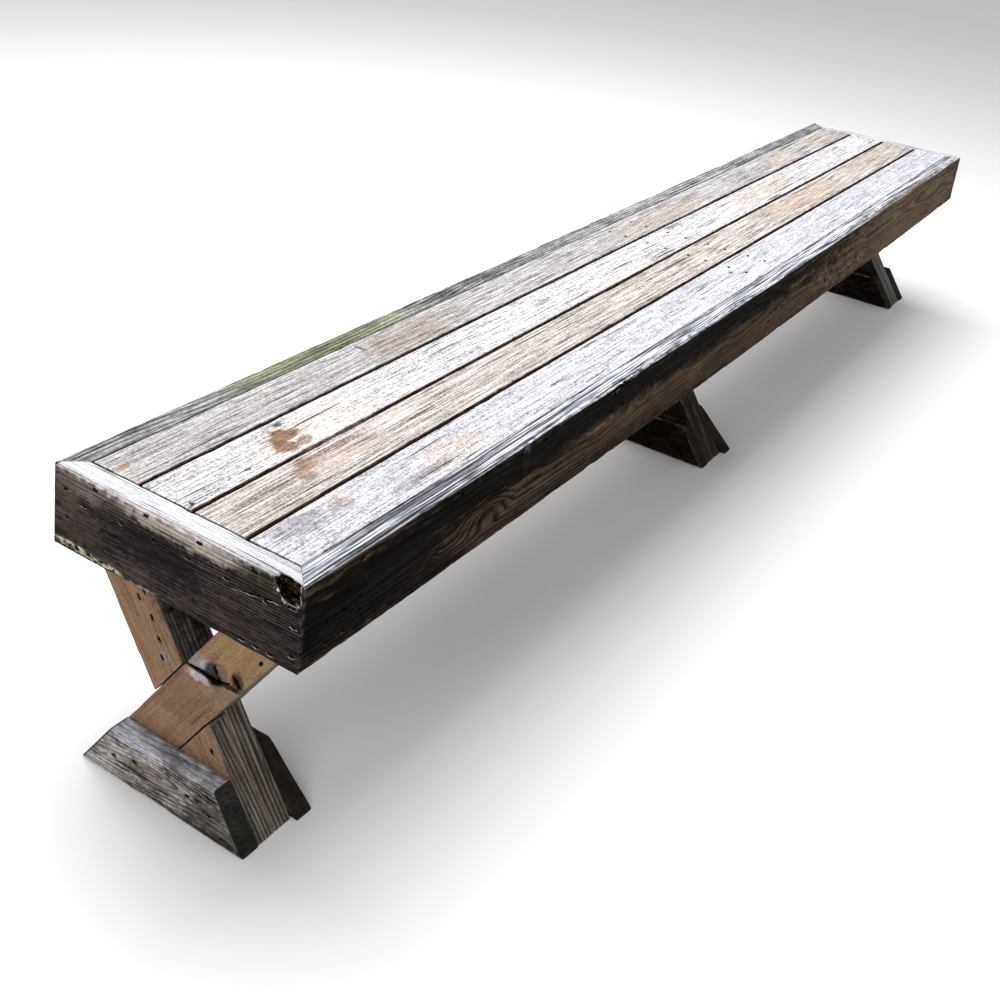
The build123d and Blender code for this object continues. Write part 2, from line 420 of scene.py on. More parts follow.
def cut_away(piece, shape):
    """Cuts a closed shape out of a piece."""
    bmesh.ops.recalc_face_normals(shape, faces=shape.faces)
    mesh = bpy.data.meshes.new("opening")
    shape.to_mesh(mesh)
    shape.free()
    cutter = add_object("opening", mesh)
    modifier = piece.modifiers.new("opening", "BOOLEAN")
    modifier.operation = "DIFFERENCE"
    modifier.solver = "EXACT"
    modifier.object = cutter
    bpy.context.view_layer.update()
    depsgraph = bpy.context.evaluated_depsgraph_get()
    cut = bpy.data.meshes.new_from_object(piece.evaluated_get(depsgraph))
    piece.modifiers.clear()
    piece.data = cut
    bpy.data.objects.remove(cutter)


# ---- material helpers
def to_linear(colour):
    """A colour given as screen values from 0 to 255, as the linear one that shaders use."""
    linear = []
    for value in colour:
        share = value / 255
        linear.append(share / 12.92 if share <= 0.04045 else ((share + 0.055) / 1.055) ** 2.4)
    return (*linear, 1.0)


def arithmetic(operation, turned=False):
    """A method of Value that adds a Math node."""

    def method(*numbers):
        paint = numbers[0].paint
        return paint.math(operation, *(reversed(numbers) if turned else numbers))

    return method


class Value:
    """A number in a material. Arithmetic on it adds Math nodes."""

    def __init__(self, paint, socket):
        self.paint = paint
        self.socket = socket

    __add__ = arithmetic("ADD")
    __radd__ = arithmetic("ADD", turned=True)
    __sub__ = arithmetic("SUBTRACT")
    __rsub__ = arithmetic("SUBTRACT", turned=True)
    __mul__ = arithmetic("MULTIPLY")
    __rmul__ = arithmetic("MULTIPLY", turned=True)
    __truediv__ = arithmetic("DIVIDE")
    smallest = arithmetic("MINIMUM")
    largest = arithmetic("MAXIMUM")
    fraction = arithmetic("FRACT")
    size = arithmetic("ABSOLUTE")

    def rise(self, low, high):
        """0 up to low, 1 from high on, and smooth between them; low may be above high."""
        flipped = low > high
        limits = (min(low, high), max(low, high), float(flipped), float(not flipped))
        node = self.paint.node("ShaderNodeMapRange", self, *limits)
        node.interpolation_type = "SMOOTHSTEP"
        return Value(self.paint, node.outputs["Result"])


class Paint:
    """A material being built from nodes."""

    def __init__(self, name):
        self.material = bpy.data.materials.new(name)
        self.material.use_nodes = True
        self.tree = self.material.node_tree
        self.shader = self.tree.nodes["Principled BSDF"]
        self.place = self.node("ShaderNodeTexCoord").outputs["Object"]
        self.normal = self.node("ShaderNodeNewGeometry").outputs["Normal"]
        self.wobble = None

    def node(self, kind, *sources):
        """A new node, with its first inputs fed in their order."""
        node = self.tree.nodes.new(kind)
        for socket, source in zip(node.inputs, sources):
            self.feed(socket, source)
        return node

    def feed(self, socket, source):
        """Gives an input a number, a colour, or what comes out of another node."""
        if isinstance(source, Value):
            self.tree.links.new(source.socket, socket)
        elif isinstance(source, bpy.types.NodeSocket):
            self.tree.links.new(source, socket)
        else:
            socket.default_value = source

    def math(self, operation, *numbers):
        node = self.node("ShaderNodeMath", *numbers)
        node.operation = operation
        return Value(self, node.outputs[0])

    def vector_math(self, operation, one, other):
        node = self.node("ShaderNodeVectorMath", one, other)
        node.operation = operation
        return node.outputs["Vector"]

    def length(self, vector):
        node = self.node("ShaderNodeVectorMath", vector)
        node.operation = "LENGTH"
        return Value(self, node.outputs["Value"])

    def attribute(self, name):
        node = self.node("ShaderNodeAttribute")
        node.attribute_name = name
        return node.outputs["Vector"]

    def split(self, vector):
        node = self.node("ShaderNodeSeparateXYZ", vector)
        return [Value(self, output) for output in node.outputs]

    def join(self, x, y, z):
        return self.node("ShaderNodeCombineXYZ", x, y, z).outputs[0]

    def cloud(self, vector, per_metre, detail=2.0, shift=0.0):
        """Noise from 0 to 1 with so many lumps per metre along each axis."""
        scaled = self.vector_math("MULTIPLY", vector, per_metre)
        moved = self.vector_math("ADD", scaled, (shift, shift * 0.7, shift * 1.3))
        node = self.node("ShaderNodeTexNoise", moved)
        for socket, value in (("Scale", 1.0), ("Detail", detail), ("Roughness", 0.6)):
            node.inputs[socket].default_value = value
        return Value(self, node.outputs["Fac"])

    def mix(self, one, other, share):
        node = self.node("ShaderNodeMix", share)
        node.data_type = "RGBA"
        self.feed(node.inputs[6], one)
        self.feed(node.inputs[7], other)
        return node.outputs[2]

    def tones(self, value, dark, middle, light):
        """A colour that runs from dark through middle to light as the value goes 0 to 1."""
        node = self.node("ShaderNodeValToRGB", value)
        ramp = node.color_ramp
        ramp.elements[0].color = to_linear(dark)
        ramp.elements[1].color = to_linear(light)
        ramp.elements.new(0.5).color = to_linear(middle)
        return node.outputs[0]

    def shaded(self, colour, value):
        """A colour made darker or lighter by a value around 0.5."""
        factor = 0.35 + value * 1.3
        grey = self.join(factor, factor, factor)
        return self.vector_math("MULTIPLY", to_linear(colour)[:3], grey)

    def spot(self, place, size):
        """1 inside an ellipsoid at a place on the bench, with a soft, ragged edge."""
        offset = self.vector_math("SUBTRACT", self.place, place)
        scaled = self.vector_math("DIVIDE", offset, size)
        if self.wobble is None:
            self.wobble = self.cloud(self.place, (34, 80, 80), 5.0, 5.0)
        edge = self.length(scaled) + (self.wobble - 0.5) * 1.8
        return edge.rise(1.3, 0.7)


def weathered_wood(name, top, side, ring=0.0042, pith=(0.0, -0.045), stains_and_painted_light=(), **look):
    """Old softwood: growth rings, fibres and checks, bleached where it faces the sky.

    top and side are (dark, middle, light) colours, in screen values from 0 to 255; the darker
    side colours are partly real weathering and partly painted shade. Each stain is (place,
    size, colour, strength), and a strength above 1 makes a broken, frayed one; a few of them
    are spots of painted shade and of painted highlight. Inside cuts and holes the wood is
    painted near black as shade. Knots are (along, across, size) in the board's own coordinates.
    """
    paint = Paint(name)
    grain = paint.attribute("grain")
    along, across, outward = paint.split(grain)
    bend = look.get("bend", 0.05)
    wander_across = (paint.cloud(grain, (1.1, 4, 4), 2.0) - 0.5) * bend
    wander_outward = (paint.cloud(grain, (1.4, 5, 5), 2.0, 9.0) - 0.5) * bend
    from_pith = paint.join(0.0, across - pith[0] + wander_across, outward - pith[1] + wander_outward)
    radius = paint.length(from_pith)
    knot_mask = None
    for at_along, at_across, size in look.get("knots", ()):
        spread = paint.join((along - at_along) / (size * 2.4), (across - at_across) / size, 0.0)
        near = paint.length(spread).rise(2.2, 0.0)
        radius = radius + near * (size * 0.9)
        core = near.rise(0.86, 0.97)
        knot_mask = core if knot_mask is None else knot_mask.largest(core)
    phase = (radius / ring + paint.cloud(grain, (6, 60, 60), 1.0, 3.0) * 0.5).fraction()
    late_wood = phase.rise(0.3, 0.85) - phase.rise(0.92, 1.0)
    fibre = paint.cloud(grain, (26, 620, 620), 2.0, 1.0)
    groove = paint.cloud(grain, (6, 330, 330), 2.0, 8.0)
    streak = paint.cloud(grain, (2.4, 110, 110), 3.0, 2.0)
    speckle = paint.cloud(grain, look.get("speckle_grain", (110, 270, 270)), 3.0, 12.0)
    patch = paint.cloud(grain, look.get("patch_grain", (14, 40, 40)), 4.0, 4.0)
    broad = paint.cloud(grain, (1.6, 7, 7), 2.0, 6.0)
    checks = paint.cloud(grain, (4.5, 150, 150), 1.0, 7.0).rise(0.68, 0.74)
    rings = look.get("rings", 0.35)
    tone = 0.5 + (streak - 0.5) * look.get("streaks", 0.7) + (fibre - 0.5) * look.get("fibres", 0.9)
    tone = tone + (groove - 0.5) * look.get("grooves", 1.3) + (speckle - 0.5) * look.get("speckles", 0.9)
    tone = tone - (late_wood - 0.4) * rings + (patch - 0.5) * look.get("patches", 1.0)
    tone = tone + (broad - 0.5) * look.get("broad", 0.7)
    facing_along, _, facing_up = paint.split(paint.normal)
    from_end, from_edge, from_face = paint.split(paint.attribute("inset"))
    low_pair = from_end.smallest(from_edge)
    high_pair = from_end.largest(from_edge)
    from_arris = low_pair.largest(high_pair.smallest(from_face))
    inside = low_pair.smallest(from_face)
    away = from_arris.rise(0.005, 0.009)
    # Faces turned to the sky take the top colours and the rest the darker side colours, which are partly
    # painted shade; deep inside a cut the side colours stay.
    skyward = facing_up.rise(0.25, 0.8) * (1 - inside.rise(INSIDE_FROM, 0.0014) * away * 0.85)
    top_tone = tone + (groove.rise(0.42, 0.58) - 0.5) * look.get("lines", 0.0)
    top_colour = paint.tones(top_tone, *top)
    side_colour = paint.tones(tone, *side)
    colour = paint.mix(side_colour, top_colour, skyward)
    if "edge" in look:
        edgeways = facing_along.size().rise(0.6, 0.3) * facing_up.rise(0.75, 0.5)
        edge_tone = 0.5 + (groove - 0.5) * 1.6 + (streak - 0.5) + (patch - 0.5) * 0.7
        edge_tone = edge_tone + (speckle - 0.5) * 0.5 - (late_wood - 0.4) * 0.5
        colour = paint.mix(colour, paint.tones(edge_tone, *look["edge"]), edgeways)
    # Stains, with a few spots of painted shade and painted highlight, laid over the wood.
    for place, size, stain_and_light_colour, strength in stains_and_painted_light:
        mask = paint.spot(place, size)
        if strength > 1:
            mask = mask * speckle.rise(0.42, 0.56)
        colour = paint.mix(colour, paint.shaded(stain_and_light_colour, tone), mask * min(strength, 1.0))
    worn = from_arris.rise(0.006, 0.0005) * paint.cloud(grain, (40, 90, 90), 2.0, 11.0).rise(0.4, 0.65)
    worn_colour = to_linear(look.get("worn", (170, 165, 160)))
    colour = paint.mix(colour, worn_colour, worn * look.get("worn_share", 0.4))
    end_grain = from_end.rise(0.004, 0.001) * look.get("end_dark", 0.0)
    end_colour = paint.shaded(look.get("end_colour", (40, 36, 32)), patch * 1.6 - 0.3)
    colour = paint.mix(colour, end_colour, end_grain)
    if knot_mask is not None:
        colour = paint.mix(colour, to_linear(KNOT), knot_mask * 0.75)
    colour = paint.mix(colour, to_linear(CHECK), checks * look.get("check_dark", 0.8))
    # Deep inside cuts, holes and splits, away from an arris, the wood is painted near black and mottled:
    # painted shade in the openings.
    painted_cut_shade_mottle = (groove * 0.5 + paint.cloud(grain, (90, 160, 160), 4.0, 15.0) * 0.7 - 0.1).rise(0.38, 0.66)
    rotten = paint.tones(painted_cut_shade_mottle, *look.get("rotten", ((3, 3, 2), (8, 6, 5), (30, 22, 17))))
    colour = paint.mix(colour, rotten, inside.rise(INSIDE_FROM, 0.0016) * away)
    paint.feed(paint.shader.inputs["Base Color"], colour)
    paint.feed(paint.shader.inputs["Roughness"], 0.95 - tone.rise(0.0, 1.0) * 0.15)
    paint.shader.inputs["Specular IOR Level"].default_value = 0.04
    height = late_wood * 0.3 + fibre * 0.35 + groove * 0.9 + speckle * 0.45 + streak * 0.3 - checks
    height = height * (1 - end_grain * 0.8)
    bump = paint.node("ShaderNodeBump", look.get("bump", 0.7), 0.0016)
    paint.feed(bump.inputs["Height"], height)
    paint.feed(paint.shader.inputs["Normal"], bump.outputs["Normal"])
    return paint.material


# ---- materials
KNOT = (26, 18, 13)
CHECK = (24, 19, 16)
SLAT_SIDE = ((38, 26, 19), (82, 58, 40), (128, 98, 74))
BROWN = (122, 88, 66)


def on_top(x, y):
    """A point on the seat, measured from the near end and from the front edge."""
    return (NEAR + x, FRONT + y, SEAT_TOP)


def top_stains(*rows):
    """Stains on the seat, as rows of x and y there, length, width, colour, strength."""
    return [(on_top(x, y), (length, width, 0.05), *rest) for x, y, length, width, *rest in rows]


def front_stains(*rows):
    """Stains on the front, as rows of distance from the near end, distance down, how far
    the face bulges there, length, height, colour, strength."""
    return [
        ((NEAR + x, FRONT - out, SEAT_TOP - down), (length, 0.02, height), *rest)
        for x, down, out, length, height, *rest in rows
    ]


def face_stains_and_light(x, thick, rows):
    """Stains, painted shade and painted highlights on a face that looks along the bench, as rows
    of y, z, width, height, colour, strength."""
    return [((x, y, z), (thick, width, height), *rest) for y, z, width, height, *rest in rows]


def end_stains_and_shade(*rows):
    """Stains and painted shade on the near end, as face stains with the distance down in place of z."""
    return face_stains_and_light(NEAR, 0.02, [(y, SEAT_TOP - down, *rest) for y, down, *rest in rows])


SPLINTER = (NEAR + 0.043, FRONT + 0.247, SEAT_TOP + 0.011)
slat_looks = {
    4: dict(
        top=((92, 85, 82), (168, 164, 164), (226, 225, 228)), grooves=1.1, speckles=1.3,
        patches=0.45,
        stains_and_painted_light=top_stains(
            (0.058, 0.396, 0.012, 0.008, (176, 136, 84), 0.7),
            (0.675, 0.412, 0.004, 0.016, (80, 66, 56), 0.8),
            (0.8, 0.39, 0.14, 0.035, (146, 130, 118), 0.55),
            (1.9, 0.38, 0.3, 0.03, (176, 164, 154), 0.5),
            (2.74, 0.39, 0.12, 0.03, (188, 172, 158), 0.45),
            (3.06, 0.39, 0.12, 0.03, (184, 168, 154), 0.45),
        ),
    ),
    3: dict(
        top=((112, 104, 101), (202, 201, 205), (247, 247, 252)), grooves=0.7, speckles=1.9,
        patches=0.65,
        stains_and_painted_light=[
            (SPLINTER, (0.014, 0.012, 0.01), (104, 94, 88), 0.9),
            *top_stains(
                (0.38, 0.276, 0.15, 0.036, (216, 200, 182), 0.55),
                (0.4, 0.262, 0.085, 0.02, (226, 222, 220), 0.6),
                (0.305, 0.292, 0.034, 0.019, BROWN, 0.9),
                (0.283, 0.27, 0.024, 0.018, BROWN, 0.85),
                (0.32, 0.262, 0.018, 0.012, BROWN, 0.7),
                (0.185, 0.262, 0.007, 0.004, (70, 64, 60), 0.8),
                (0.33, 0.325, 0.009, 0.006, (60, 54, 50), 0.8),
                (1.15, 0.298, 0.03, 0.008, (120, 104, 94), 0.6),
                (1.85, 0.328, 0.04, 0.007, (110, 92, 80), 0.6),
                (2.36, 0.29, 0.2, 0.035, (196, 176, 158), 0.45),
            ),
        ],
    ),
    2: dict(
        top=((90, 76, 66), (180, 172, 167), (236, 232, 231)), grooves=1.2, speckles=1.3,
        patches=0.35,
        stains_and_painted_light=top_stains(
            (0.262, 0.212, 0.024, 0.016, BROWN, 0.7),
            (0.235, 0.188, 0.018, 0.014, BROWN, 0.5),
            (0.33, 0.19, 0.08, 0.02, (178, 152, 130), 0.35),
            (1.465, 0.226, 0.03, 0.007, (112, 96, 84), 0.6),
            (2.36, 0.19, 0.22, 0.035, (188, 166, 146), 0.5),
            (2.94, 0.19, 0.14, 0.03, (190, 170, 152), 0.4),
        ),
    ),
    1: dict(
        top=((122, 118, 122), (193, 193, 201), (240, 241, 248)), grooves=0.65, speckles=2,
        patches=0.7,
        stains_and_painted_light=top_stains(
            (0.215, 0.105, 0.03, 0.02, (200, 184, 168), 0.5),
            (0.47, 0.075, 0.09, 0.03, (206, 190, 172), 0.45),
            (0.12, 0.105, 0.05, 0.022, (128, 122, 122), 0.5),
            (0.205, 0.095, 0.025, 0.016, (120, 114, 116), 0.45),
            (0.36, 0.06, 0.08, 0.012, (120, 112, 110), 0.45),
            (1.65, 0.09, 0.006, 0.006, (70, 62, 56), 0.7),
        ),
    ),
}


def slat_material(number):
    """The pale wood of one slat: its own colours and stains on what all four share."""
    return weathered_wood(
        f"seat_slat_{number}_wood",
        side=SLAT_SIDE, ring=0.0048, rings=0.08, pith=(0.006 * number - 0.012, -0.05), fibres=0.9,
        lines=0.28, streaks=0.12, speckle_grain=(200, 290, 290), patch_grain=(34, 62, 62),
        broad=0.15, worn=(228, 226, 226), worn_share=0.5, bump=0.9,
        **slat_looks[number],
    )


front_material = weathered_wood(
    "front_board_wood",
    ((56, 55, 58), (150, 153, 161), (224, 227, 235)),
    ((5, 4, 3), (34, 26, 20), (92, 74, 60)),
    ring=0.005, pith=(0.02, -0.06), rings=0.4, grooves=0.9, lines=0.6, streaks=0.5, patches=0.4,
    speckles=0.4, fibres=0.5,
    stains_and_painted_light=(
        (on_top(0.3, 0.02), (0.09, 0.006, 0.003), (84, 86, 100), 0.7),
        (on_top(0.12, 0.008), (0.24, 0.0015, 0.003), (30, 30, 34), 0.6),
        (on_top(0.1, 0.014), (0.2, 0.0012, 0.003), (40, 40, 46), 0.5),
        (on_top(0.4, 0.004), (0.3, 0.0018, 0.003), (30, 29, 31), 0.6),
        *front_stains(
            (0.578, 0.028, 0.005, 0.011, 0.032, (104, 95, 84), 0.85),
            (0.85, 0.06, 0.008, 0.09, 0.01, (96, 86, 74), 1.1),
            (1.27, 0.095, 0.009, 0.035, 0.018, (112, 100, 88), 1.1),
        ),
        ((NEAR + 1.0, FRONT - 0.006, SEAT_TOP - 0.034), (1.2, 0.016, 0.032), (9, 7, 6), 0.95),
        *front_stains(
            (0.15, 0.08, 0, 0.2, 0.055, (8, 7, 6), 0.9),
            (1.45, 0.092, 0, 0.85, 0.04, (74, 60, 48), 0.7),
            (2.75, 0.07, 0, 0.7, 0.085, (104, 88, 71), 0.8),
            (1.06, 0.038, 0, 0.028, 0.012, (7, 6, 5), 0.9),
            (0.3, 0.132, 0, 0.13, 0.012, (7, 6, 5), 0.9),
            (1.88, 0.043, 0, 0.1, 0.005, (104, 76, 50), 0.45),
            (0.025, 0.095, 0, 0.016, 0.013, (4, 4, 4), 0.95),
        ),
    ),
    knots=(
        (NEAR + 0.467 + SEED_STEP * FRONT_SEED, -0.012, 0.02),
        (NEAR + 0.305 + SEED_STEP * FRONT_SEED, -0.025, 0.008),
        (NEAR + 1.02 + SEED_STEP * FRONT_SEED, 0.012, 0.014),
        (NEAR + 2.3 + SEED_STEP * FRONT_SEED, -0.02, 0.016),
    ),
    worn=(150, 148, 150), worn_share=0.2,
)
back_material = weathered_wood(
    "back_board_wood",
    ((40, 41, 41), (110, 112, 112), (192, 194, 196)),
    ((26, 21, 18), (64, 52, 43), (104, 87, 73)),
    ring=0.005, pith=(-0.02, 0.06), rings=0.4,
    stains_and_painted_light=(((NEAR + 0.62, -FRONT - 0.019, SEAT_TOP), (0.27, 0.05, 0.03), (120, 124, 84), 0.55),),
    worn=(170, 170, 166),
)
near_end_material = weathered_wood(
    "near_end_board_wood",
    ((128, 131, 140), (206, 209, 216), (243, 245, 250)),
    ((9, 8, 10), (33, 30, 33), (84, 72, 63)),
    ring=0.0036, pith=(0.09, 0.05), rings=0.4, bend=0.03, patches=0.7,
    stains_and_painted_light=(
        *end_stains_and_shade(
            (0.15, 0.016, 0.1, 0.02, (106, 95, 90), 0.75),
            (-0.02, 0.014, 0.12, 0.018, (160, 148, 140), 0.85),
            (0.0, -0.002, 0.3, 0.011, (206, 202, 206), 0.9),
            (0.215, 0.045, 0.028, 0.028, (84, 74, 68), 0.6),
            (0.12, 0.03, 0.028, 0.01, (40, 37, 39), 0.75),
            (0.03, 0.065, 0.085, 0.028, (20, 19, 24), 0.7),
            (-0.17, 0.022, 0.05, 0.016, (56, 49, 42), 0.75),
            (0.19, 0.09, 0.06, 0.028, (70, 61, 56), 0.5),
            (0.2, 0.127, 0.035, 0.0035, (160, 156, 138), 1.1),
            (0.15, 0.132, 0.06, 0.0045, (158, 154, 132), 1.1),
            (0.06, 0.136, 0.045, 0.003, (122, 112, 100), 1.1),
            # Painted shade: a near-black spot at the corner between the hollow and the split.
            (FRONT + 0.003, 0.041, 0.009, 0.008, (8, 7, 7), 0.95),
        ),
        *(
            ((NEAR, FRONT + 0.059 - 0.03 * share, SEAT_TOP - 0.008 - 0.03 * share),
             (0.01, 0.0028, 0.004), (196, 184, 166), 1.1)
            for share in (0.0, 0.3, 0.5, 0.8, 1.0)
        ),
    ),
    worn=(96, 90, 86), worn_share=0.25, rotten=((3, 3, 3), (12, 8, 6), (96, 70, 50)),
)
far_end_material = weathered_wood(
    "far_end_board_wood",
    ((120, 120, 124), (196, 198, 204), (240, 242, 248)),
    ((28, 24, 22), (62, 54, 48), (104, 92, 82)),
    ring=0.004, pith=(0.06, 0.05), rings=0.4,
)
LEG_TAN = ((80, 58, 42), (138, 110, 86), (166, 140, 114))
LEG_EDGE = ((24, 21, 19), (80, 75, 70), (142, 138, 132))
# The broad faces of the middle and right sets: the leg wood with the shade under the seat painted in.
SHADED_LEG = ((8, 6, 5), (34, 27, 22), (78, 66, 55))


def leg_material(name, broad, edge, stains_and_painted_light=()):
    """Leg wood: tan on its broad faces for the near set and near black with painted shade for the sets
    under the seat, and greyer on its edges.
    """
    return weathered_wood(
        name,
        edge,
        broad,
        ring=0.0055, pith=(0.01, -0.05), rings=0.1, streaks=0.4, fibres=0.5, grooves=0.4,
        speckles=1.0, speckle_grain=(260, 360, 360), patches=0.35, worn_share=0.2, check_dark=0.6,
        bump=0.45, edge=edge, stains_and_painted_light=stains_and_painted_light,
    )


near_leg_material = leg_material("near_leg_wood", LEG_TAN, LEG_EDGE, (
    # The first spot is painted shade on the leg's edges just under the seat.
    ((NEAR + 0.1, 0.03, 0.345), (0.055, 0.09, 0.09), (26, 20, 16), 0.9),
    ((NEAR_LEG_FACE, 0.036, 0.236), (0.01, 0.012, 0.01), (150, 142, 138), 0.5),
))
# Tan stains on the split leg's face, with painted shade in and beside its splits (the near-black spots and
# the line along the split) and painted highlights on their lips (the pale grey spots).
split_leg_stains_and_light = face_stains_and_light(NEAR_LEG_FACE, 0.02, (
    (-0.14, 0.31, 0.075, 0.06, (134, 108, 74), 0.6),
    (0.01, 0.19, 0.08, 0.05, (112, 86, 70), 0.6),
    (-0.085, 0.228, 0.03, 0.018, (124, 108, 96), 0.7),
    (-0.028, 0.264, 0.032, 0.014, (136, 130, 132), 0.8),
    (-0.034, 0.237, 0.03, 0.008, (170, 164, 164), 0.85),
    (-0.046, 0.258, 0.012, 0.012, (176, 172, 176), 0.6),
    (-0.062, 0.252, 0.018, 0.02, (34, 26, 22), 0.9),
    (-0.078, 0.264, 0.01, 0.014, (96, 84, 76), 0.7),
    (-0.106, 0.262, 0.012, 0.018, (44, 36, 31), 0.8),
    (-0.06, 0.247, 0.06, 0.005, (24, 20, 18), 0.9),
))
split_leg_material = leg_material("split_leg_wood", LEG_TAN, LEG_EDGE, split_leg_stains_and_light)
# The middle set's edges are darker than the other sets' edges as painted shade under the seat.
MIDDLE_EDGE = ((12, 10, 8), (48, 41, 35), (96, 86, 76))
RIGHT_EDGE = ((34, 30, 27), (92, 88, 85), (150, 149, 149))
middle_leg_material = leg_material("middle_leg_wood", SHADED_LEG, MIDDLE_EDGE)
right_leg_material = leg_material("right_leg_wood", SHADED_LEG, RIGHT_EDGE)


def foot_material(name, top, side, end_colour, stains_and_painted_light=()):
    """The rough, patchy wood of the feet, with dark sawn ends."""
    return weathered_wood(
        name,
        top,
        side,
        ring=0.006, pith=(0.015, -0.03), rings=0.3, bend=0.2, grooves=0.9, streaks=0.5,
        speckles=1.3, patches=1.4, patch_grain=(20, 34, 34), end_dark=0.95, end_colour=end_colour,
        stains_and_painted_light=stains_and_painted_light,
    )


near_foot_material = foot_material(
    "near_foot_wood",
    ((90, 88, 90), (152, 151, 157), (214, 216, 226)),
    ((32, 28, 25), (130, 124, 120), (204, 200, 198)),
    (24, 28, 19),
    (
        ((NEAR, 0.05, 0.09), (0.03, 0.07, 0.016), (176, 178, 190), 0.6),
        *face_stains_and_light(NEAR, 0.01, (
            (-0.11, 0.03, 0.06, 0.035, (62, 54, 48), 0.75),
            (0.02, 0.045, 0.07, 0.016, (92, 82, 74), 0.6),
            (0.1, 0.003, 0.007, 0.004, (98, 124, 50), 1.1),
            (0.05, 0.004, 0.008, 0.005, (98, 124, 50), 1.1),
            (-0.08, 0.004, 0.1, 0.01, (48, 42, 34), 0.8),
        )),
    ),
)
# The rear feet and the feet of the middle and right sets, under the seat: the foot wood with the shade
# there painted in, near black.
shaded_foot_material = foot_material(
    "shaded_foot_wood",
    ((10, 8, 6), (34, 28, 23), (82, 74, 64)),
    ((4, 3, 2), (16, 11, 8), (48, 38, 30)),
    (40, 36, 30),
)
inner_material = weathered_wood(
    "inner_board_wood",
    ((50, 40, 32), (92, 75, 60), (130, 110, 92)),
    ((40, 31, 25), (80, 64, 51), (120, 100, 82)),
)


def nail_material():
    """Rust on every nail."""
    paint = Paint("rusty_nail")
    rust = paint.cloud(paint.place, (500, 500, 500), 3.0)
    colour = paint.tones(rust, (3, 3, 3), (9, 7, 6), (36, 23, 18))
    paint.feed(paint.shader.inputs["Base Color"], colour)
    paint.shader.inputs["Specular IOR Level"].default_value = 0.1
    paint.feed(paint.shader.inputs["Roughness"], 0.55 + rust * 0.35)
    return paint.material


# ---- list of the boards
def bulge(x):
    """How far the front of the seat bulges out at a place along its length."""
    return FRONT_BOW * (1 - (x / HALF_LENGTH) ** 2)


def bow_front(points):
    """The front of the seat bulges out a little at the middle of its length."""
    slat_inner = -INNER_HALF_WIDTH + FRONT_SLAT_WIDTH
    weight = np.clip((slat_inner - points[..., 1]) / FRONT_SLAT_WIDTH, 0, 1)
    bowed = points.copy()
    bowed[..., 1] -= bulge(points[..., 0]) * weight
    return bowed


def straighten_front(points):
    """Undoes the bulge on the front board, to find how far inside it each point is."""
    straight = points.copy()
    straight[:, 1] += bulge(points[:, 0])
    return straight


def on_front(from_near_end, down):
    """A point on the bulging front face."""
    x = NEAR + from_near_end
    return (x, FRONT - bulge(x), SEAT_TOP - down)


def front_splits():
    """The slanting split, the torn arris and the notch of the front board."""
    slanting = (
        (0.577, 0.001, 0.0026),
        (0.56, 0.012, 0.0042),
        (0.546, 0.024, 0.0026),
        (0.517, 0.058, 0.001),
    )
    torn = (
        (0.855, 0.006, 0.002),
        (0.885, 0.007, 0.0078),
        (0.905, 0.005, 0.0056),
        (0.985, 0.001, 0.002),
    )
    notch = (
        (2.045, 0.083, 0.0008),
        (2.062, 0.096, 0.003),
        (2.068, 0.101, 0.003),
        (2.08, 0.09, 0.0008),
    )
    splits = []
    for i, rows in enumerate((slanting, torn, notch)):
        route = [(on_front(x, down), half) for x, down, half in rows]
        splits.append(split_in_wood(route, Y, 0.009, 31 + i))
    return splits


def round_top_arris(points):
    """The outer top arris of the near end board is worn well down."""
    down = SEAT_TOP - points[..., 2]
    inwards = points[..., 0] - NEAR
    near = np.clip(1 - down / 0.008, 0, 1) * np.clip(1 - inwards / 0.008, 0, 1)
    worn = points.copy()
    worn[..., 0] += 0.0025 * near
    worn[..., 2] -= 0.0025 * near
    return worn


def rotted_corner():
    """The hollow at the front top corner of the near end board, splintered along the grain."""
    reach = 0.058
    above = 0.008
    rows, columns = 36, 30
    from_corner = np.linspace(-0.004, reach, rows)
    share = np.linspace(0, 1, columns)
    across, share = np.meshgrid(from_corner, share, indexing="ij")
    lowest = np.clip(0.066 - across, 0.008, 0.036)
    down = -above + (lowest + above) * share
    place = np.stack([0 * across, across, down], -1)
    across = across + 0.004 * np.clip(across / reach, 0, 1) * lumps(place, (1, 1, 190), 9)
    into = 0.005 + 0.012 * np.clip(down / 0.01, 0, 1) * np.clip((lowest - down) / 0.004, 0.25, 1)
    into = into * np.clip((reach - place[..., 1]) / 0.012, 0.35, 1)
    into = into + 0.0035 * lumps(place, (1, 55, 300), 5) + 0.0015 * lumps(place, (1, 150, 600), 6)
    shape = bmesh.new()
    skins = []
    for x in (np.full(across.shape, NEAR - 0.006), NEAR + into):
        places = np.stack([x, FRONT + across, SEAT_TOP - down], -1)
        skin = [[shape.verts.new(place) for place in row] for row in places]
        skins.append(skin)
        for i in range(rows - 1):
            for j in range(columns - 1):
                shape.faces.new((skin[i][j], skin[i + 1][j], skin[i + 1][j + 1], skin[i][j + 1]))
    rims = []
    for skin in skins:
        rim = [row[0] for row in skin] + skin[-1][1:]
        rim += [row[-1] for row in skin[-2::-1]] + skin[0][-2:0:-1]
        rims.append(rim)
    bridge(shape, rims)
    return shape


def end_openings():
    """The rotted corner of the near end board, and the long split below it."""
    route = (
        ((NEAR, FRONT + 0.126, SEAT_TOP - 0.058), 0.0008),
        ((NEAR, FRONT + 0.067, SEAT_TOP - 0.047), 0.0026),
        ((NEAR, FRONT + 0.032, SEAT_TOP - 0.042), 0.0028),
        ((NEAR, FRONT - 0.002, SEAT_TOP - 0.04), 0.0034),
    )
    return [rotted_corner(), split_in_wood(route, X, 0.01, 41)]


